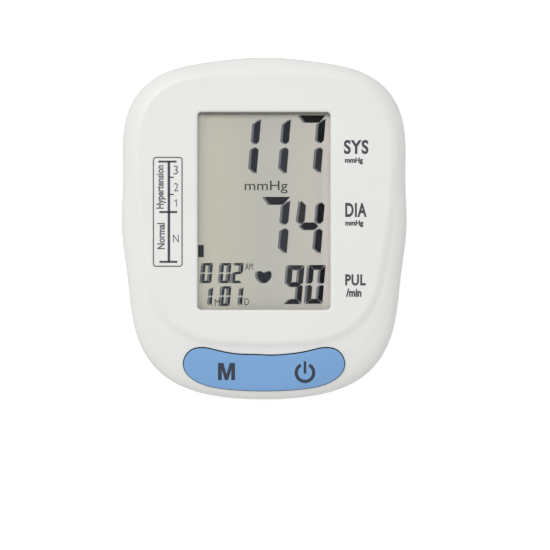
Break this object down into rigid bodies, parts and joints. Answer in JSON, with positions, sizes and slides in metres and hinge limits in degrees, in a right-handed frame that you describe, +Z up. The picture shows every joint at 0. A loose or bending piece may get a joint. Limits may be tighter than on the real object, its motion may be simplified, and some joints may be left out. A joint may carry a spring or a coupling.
{
  "type": "upper arm blood pressure monitor",
  "caption": "Desk-top upper arm blood pressure monitor: wedge-shaped white case, raised face with tall recessed LCD, blue two-way rocker key, air port, battery bay and pump inside",
  "frame": {"origin": "on the table plane, at the stand mount between the four feet; the middle of the case is 1.1 mm further along +Y", "axes": "+X right and +Y away from the user who reads the display, +Z up; the display face leans 9 degrees towards the user at -Y"},
  "size_m": [0.1048, 0.1266, 0.0519],
  "materials": {
    "shell_white": "satin moulded ABS",
    "lens_clear": "clear acrylic, hard coated",
    "tape_black": "adhesive foam tape",
    "key_blue": "satin moulded ABS",
    "acetal": "moulded acetal",
    "silicone": "translucent silicone",
    "gold": "gold plated copper",
    "foot_rubber": "matte rubber",
    "screw_steel": "zinc plated",
    "lcd_glass": "polarised glass",
    "reflector": "silvered film",
    "frame_black": "moulded black ABS",
    "zebra": "striped elastomer",
    "board_green": "solder mask over laminate",
    "chip_black": "epoxy",
    "lead_tin": "tinned copper",
    "can_bright": "bright tin can",
    "sleeve_dark": "heat-shrunk sleeve",
    "sensor_white": "moulded liquid crystal polymer",
    "socket_steel": "stamped steel",
    "port_black": "moulded nylon",
    "motor_steel": "drawn steel, zinc plated",
    "ferrite": "sintered ferrite",
    "bronze": "oil-filled sintered bronze",
    "copper": "enamelled copper",
    "lamination": "stacked electrical steel",
    "pump_grey": "moulded nylon",
    "rubber_black": "soft EPDM",
    "zinc_frame": "zinc plated steel",
    "cell_wrap": "printed steel can and sleeve",
    "nickel": "nickel plated spring steel",
    "hose_clear": "silicone tube"
  },
  "bodies": {
    "unit": {"top_cover": "shell_white", "bottom_case": "shell_white", "display_window": "lens_clear", "window_tape": "tape_black", "key_cradle": "acetal", "key_dome_mat": "silicone", "key_contacts": "gold", "rubber_feet": "foot_rubber", "case_screws": "screw_steel", "lcd_front_glass": "lcd_glass", "lcd_rear_glass": "lcd_glass", "lcd_reflector": "reflector", "lcd_frame": "frame_black", "lcd_connector": "zebra", "main_pcb": "board_green", "pcb_screws": "screw_steel", "controller_chip": "chip_black", "chip_leads": "lead_tin", "board_parts": "chip_black", "crystal": "can_bright", "capacitor": "sleeve_dark", "buzzer": "chip_black", "pressure_sensor": "sensor_white", "power_board": "board_green", "power_socket": "socket_steel", "air_port": "port_black", "motor_can": "motor_steel", "motor_magnets": "ferrite", "motor_bushes": "bronze", "motor_end_cap": "frame_black", "motor_terminals": "lead_tin", "pump_crankcase": "pump_grey", "pump_diaphragm": "rubber_black", "pump_valve_plate": "acetal", "check_valve": "rubber_black", "pump_head": "pump_grey", "pump_screws": "screw_steel", "pump_cradle": "rubber_black", "valve_frame": "zinc_frame", "valve_bobbin": "acetal", "valve_coil": "copper", "valve_nozzle": "acetal", "aa_batteries": "cell_wrap", "battery_contacts": "nickel", "battery_springs": "nickel", "valve_hose": "hose_clear", "pump_hose": "hose_clear", "sensor_hose": "hose_clear"},
    "key": {"key_bar": "key_blue"},
    "door": {"battery_door": "shell_white"},
    "rotor": {"motor_shaft": "screw_steel", "rotor_core": "lamination", "rotor_windings": "copper", "motor_commutator": "copper", "pump_eccentric": "acetal", "crank_pin": "screw_steel"},
    "wobbler": {"wobble_plate": "acetal"},
    "plunger": {"valve_plunger": "screw_steel", "valve_seal": "rubber_black"}
  },
  "joints": [
    {"name": "key_rock", "type": "hinge", "parent": "unit", "child": "key", "pos_m": [0, -0.05222, 0.02639], "axis": [0, 0.9877, 0.1564], "range_deg": [-2, 2], "stiffness_Nm_per_rad": 0.5},
    {"name": "door_swing", "type": "hinge", "parent": "unit", "child": "door", "pos_m": [0, -0.0115, 0.0035], "axis": [-1, 0, 0], "range_deg": [0, 92]},
    {"name": "motor_spin", "type": "hinge", "parent": "unit", "child": "rotor", "pos_m": [0, -0.025, 0.0138], "axis": [1, 0, 0], "continuous": true},
    {"name": "plate_wobble", "type": "hinge", "parent": "rotor", "child": "wobbler", "pos_m": [-0.007, -0.025, 0.0138], "axis": [0.9945, 0, 0.1045], "continuous": true},
    {"name": "valve_stroke", "type": "slide", "parent": "unit", "child": "plunger", "axis": [0, 1, 0], "range_m": [0, 0.0007], "stiffness_N_per_m": 40}
  ],
  "couplings": [
    {"joint": "plate_wobble", "follows": "motor_spin", "ratio": -1}
  ]
}
